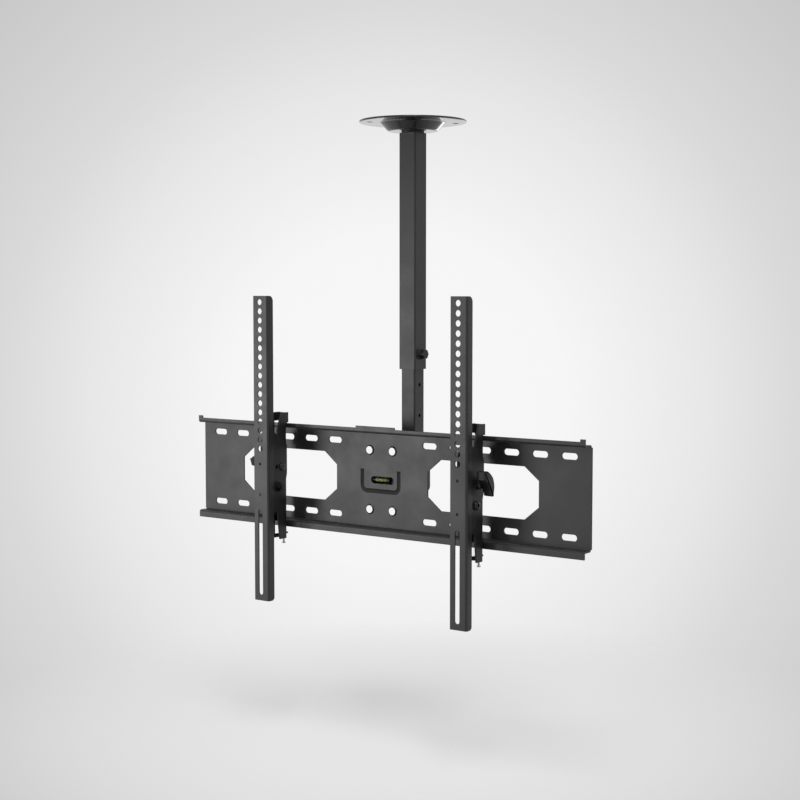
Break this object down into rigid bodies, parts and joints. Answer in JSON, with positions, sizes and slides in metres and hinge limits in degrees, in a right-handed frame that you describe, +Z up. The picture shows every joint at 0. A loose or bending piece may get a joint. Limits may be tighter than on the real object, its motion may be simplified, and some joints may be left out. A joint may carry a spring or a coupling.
{
  "type": "tv ceiling mount",
  "caption": "Swivelling telescopic ceiling mast with a slotted hook plate and two sliding, tilting arms for a flat screen.",
  "frame": {"origin": "centre of the ceiling plate's top face, in the plane of the ceiling", "axes": "+Z up into the ceiling and along the mast, -Y towards the screen, +X along the hook plate to its right end as seen from the screen side"},
  "size_m": [0.7, 0.2262, 0.7197],
  "materials": {
    "charcoal_coat": "fine matt powder coat, charcoal",
    "gloss_black_coat": "glossy black paint",
    "black_zinc": "satin black plated hardware",
    "bright_zinc": "dull zinc-plated steel",
    "black_plastic": "moulded black plastic with fine grain",
    "clear_vial": "clear acrylic",
    "level_fluid": "yellow-green liquid"
  },
  "bodies": {
    "ceiling": {"ceiling_plate": "gloss_black_coat", "swivel_washer": "bright_zinc", "thrust_washer": "black_plastic"},
    "upper_mast": {"mast_head": "charcoal_coat", "swivel_bolt": "bright_zinc", "swivel_nut": "bright_zinc", "outer_tube": "charcoal_coat", "clamp_boss": "charcoal_coat", "clamp_washer": "black_zinc", "clamp_screw": "black_zinc"},
    "lower_mast": {"inner_tube": "charcoal_coat", "top_plug": "black_plastic", "foot_plug": "black_plastic", "bracket_left": "charcoal_coat", "bracket_right": "charcoal_coat", "mast_bolts": "black_zinc", "mast_washers": "black_zinc", "mast_nuts": "black_zinc", "hook_plate": "charcoal_coat", "level_holder": "black_plastic", "level_vial": "clear_vial", "level_fluid": "level_fluid"},
    "left_hanger": {"hanger_left": "charcoal_coat", "latch_screw_left": "bright_zinc", "latch_nut_left": "bright_zinc"},
    "left_arm": {"arm_left": "charcoal_coat", "tilt_plate_left": "charcoal_coat", "pivot_bolt_left": "black_zinc", "pivot_washer_left": "black_zinc", "pivot_nut_left": "black_zinc", "tilt_stud_left": "black_zinc", "knob_washer_left": "black_zinc"},
    "left_knob": {"knob_left": "black_plastic"},
    "right_hanger": {"hanger_right": "charcoal_coat", "latch_screw_right": "bright_zinc", "latch_nut_right": "bright_zinc"},
    "right_arm": {"arm_right": "charcoal_coat", "tilt_plate_right": "charcoal_coat", "pivot_bolt_right": "black_zinc", "pivot_washer_right": "black_zinc", "pivot_nut_right": "black_zinc", "tilt_stud_right": "black_zinc", "knob_washer_right": "black_zinc"},
    "right_knob": {"knob_right": "black_plastic"}
  },
  "joints": [
    {"name": "mast_swivel", "type": "hinge", "parent": "ceiling", "child": "upper_mast", "pos_m": [0, 0, -0.017], "axis": [0, 0, 1], "continuous": true},
    {"name": "height_slide", "type": "slide", "parent": "upper_mast", "child": "lower_mast", "axis": [0, 0, 1], "range_m": [-0.1852, 0.0926]},
    {"name": "left_rail_slide", "type": "slide", "parent": "lower_mast", "child": "left_hanger", "axis": [1, 0, 0], "range_m": [-0.1553, 0.1304]},
    {"name": "left_tilt", "type": "hinge", "parent": "left_hanger", "child": "left_arm", "pos_m": [-0.1754, -0.1198, -0.5482], "axis": [1, 0, 0], "range_deg": [-5, 15]},
    {"name": "left_knob_turn", "type": "hinge", "parent": "left_arm", "child": "left_knob", "pos_m": [-0.1912, -0.1117, -0.5188], "axis": [1, 0, 0], "continuous": true},
    {"name": "right_rail_slide", "type": "slide", "parent": "lower_mast", "child": "right_hanger", "axis": [1, 0, 0], "range_m": [-0.1351, 0.1507]},
    {"name": "right_tilt", "type": "hinge", "parent": "right_hanger", "child": "right_arm", "pos_m": [0.18, -0.1198, -0.5482], "axis": [1, 0, 0], "range_deg": [-5, 15]},
    {"name": "right_knob_turn", "type": "hinge", "parent": "right_arm", "child": "right_knob", "pos_m": [0.198, -0.1117, -0.5188], "axis": [1, 0, 0], "continuous": true}
  ]
}
